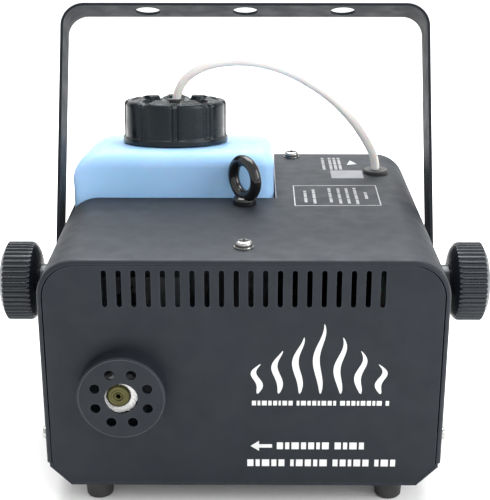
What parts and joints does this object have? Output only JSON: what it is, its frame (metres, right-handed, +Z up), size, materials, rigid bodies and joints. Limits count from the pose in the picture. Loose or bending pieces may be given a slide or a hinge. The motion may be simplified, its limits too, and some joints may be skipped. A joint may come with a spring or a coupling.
{
  "type": "fog machine",
  "caption": "Compact stage fog machine: sheet-metal housing with a guarded nozzle, lift-out fluid tank, feed hose and a tilting yoke with clamp knobs.",
  "frame": {"origin": "on the ground plane under the middle of the machine's overall box, feet at zero height", "axes": "+X to the operator's right when facing the nozzle, +Y to the rear, +Z up"},
  "size_m": [0.254, 0.1944, 0.218],
  "materials": {
    "cover_paint": "fine textured charcoal powder coat",
    "yoke_paint": "smooth satin dark grey powder coat",
    "knob_plastic": "moulded charcoal plastic, satin",
    "cap_plastic": "moulded black polypropylene, semi-gloss",
    "tank_plastic": "translucent light blue polyethylene",
    "hose_silicone": "translucent white silicone",
    "rubber": "matt black rubber",
    "black_cast": "glossy black lacquer on cast steel",
    "zinc": "zinc-plated steel",
    "galvanised": "bare galvanised sheet",
    "brass": "dull heated brass",
    "ceramic": "white ceramic fibre",
    "aluminium": "cast aluminium",
    "black_plastic": "black nylon, satin",
    "board": "green circuit laminate",
    "fuse_glass": "glass tube fuse"
  },
  "bodies": {
    "housing": {"top_cover": "cover_paint", "base_pan": "cover_paint", "front_panel": "cover_paint", "rear_panel": "cover_paint", "tank_tray": "galvanised", "feet": "rubber", "foot_screws": "zinc", "foot_nuts": "zinc", "top_screws": "zinc", "top_washers": "zinc", "top_nuts": "zinc", "side_screws": "zinc", "eyebolt": "black_cast", "eyebolt_nut": "zinc", "nozzle_guard": "cover_paint", "guard_rivets": "zinc", "nozzle": "brass", "nozzle_collar": "ceramic", "heater_block": "aluminium", "heater_elements": "zinc", "heater_case": "galvanised", "heater_insulation": "ceramic", "heater_stands": "ceramic", "thermostat": "black_plastic", "heater_inlet": "brass", "pump_body": "black_plastic", "pump_spring": "zinc", "pump_bracket": "galvanised", "pump_outlet_tube": "hose_silicone", "pump_inlet_tube": "hose_silicone", "control_board": "board", "board_parts": "black_plastic", "board_posts": "black_plastic", "terminal_strip": "ceramic", "mains_inlet": "black_plastic", "inlet_screws": "zinc", "fuse_holder": "black_plastic", "fuse": "fuse_glass", "switch_frame": "black_plastic", "remote_socket": "black_plastic", "hose": "hose_silicone", "hose_grommet": "rubber", "pivot_spacers": "black_plastic", "pivot_nuts": "zinc"},
    "yoke": {"yoke": "yoke_paint"},
    "tank": {"tank": "tank_plastic", "pickup_tube": "hose_silicone", "pickup_filter": "zinc"},
    "cap_seal": {"cap_liner": "rubber", "cap_bush": "rubber"},
    "cap": {"tank_cap": "cap_plastic"},
    "washer_left": {"clamp_washer_left": "zinc"},
    "knob_left": {"knob_left": "knob_plastic", "stud_left": "zinc"},
    "washer_right": {"clamp_washer_right": "zinc"},
    "knob_right": {"knob_right": "knob_plastic", "stud_right": "zinc"},
    "fuse_cap": {"fuse_cap": "black_plastic"},
    "rocker": {"power_rocker": "black_plastic"},
    "plunger": {"pump_plunger": "zinc"}
  },
  "joints": [
    {"name": "yoke_tilt", "type": "hinge", "parent": "housing", "child": "yoke", "pos_m": [0, -0.00375, 0.0828], "axis": [1, 0, 0], "range_deg": [-85, 138]},
    {"name": "tank_lift", "type": "slide", "parent": "housing", "child": "tank", "axis": [0, 0, 1], "range_m": [0, 0.034], "deforming": ["hose"]},
    {"name": "cap_rise", "type": "slide", "parent": "tank", "child": "cap_seal", "axis": [0, 0.1305, 0.9914], "range_m": [0, 0.00605]},
    {"name": "cap_turn", "type": "hinge", "parent": "cap_seal", "child": "cap", "pos_m": [-0.0375, 0.04275, 0.145], "axis": [0, 0.1305, 0.9914], "range_deg": [0, 540]},
    {"name": "washer_left_out", "type": "slide", "parent": "housing", "child": "washer_left", "axis": [-1, 0, 0], "range_m": [0, 0.00251]},
    {"name": "knob_left_turn", "type": "hinge", "parent": "washer_left", "child": "knob_left", "pos_m": [-0.098, -0.00375, 0.0828], "axis": [-1, 0, 0], "range_deg": [0, 720]},
    {"name": "washer_right_out", "type": "slide", "parent": "housing", "child": "washer_right", "axis": [1, 0, 0], "range_m": [0, 0.00251]},
    {"name": "knob_right_turn", "type": "hinge", "parent": "washer_right", "child": "knob_right", "pos_m": [0.098, -0.00375, 0.0828], "axis": [1, 0, 0], "range_deg": [0, 720]},
    {"name": "fuse_cap_turn", "type": "hinge", "parent": "housing", "child": "fuse_cap", "pos_m": [0.0275, 0.08775, 0.042], "axis": [0, 1, 0], "range_deg": [0, 60]},
    {"name": "power_switch", "type": "hinge", "parent": "housing", "child": "rocker", "pos_m": [0.0616, 0.08475, 0.074], "axis": [0, 0, 1], "range_deg": [-18, 0]},
    {"name": "pump_stroke", "type": "slide", "parent": "housing", "child": "plunger", "axis": [-1, 0, 0], "range_m": [0, 0.0015], "stiffness_N_per_m": 1500, "springref_m": -0.0003, "deforming": ["pump_spring"]}
  ],
  "couplings": [
    {"joint": "cap_rise", "follows": "cap_turn", "m_per_rad": 0.00063662},
    {"joint": "washer_left_out", "follows": "knob_left_turn", "m_per_rad": 0.00019894},
    {"joint": "washer_right_out", "follows": "knob_right_turn", "m_per_rad": 0.00019894}
  ]
}
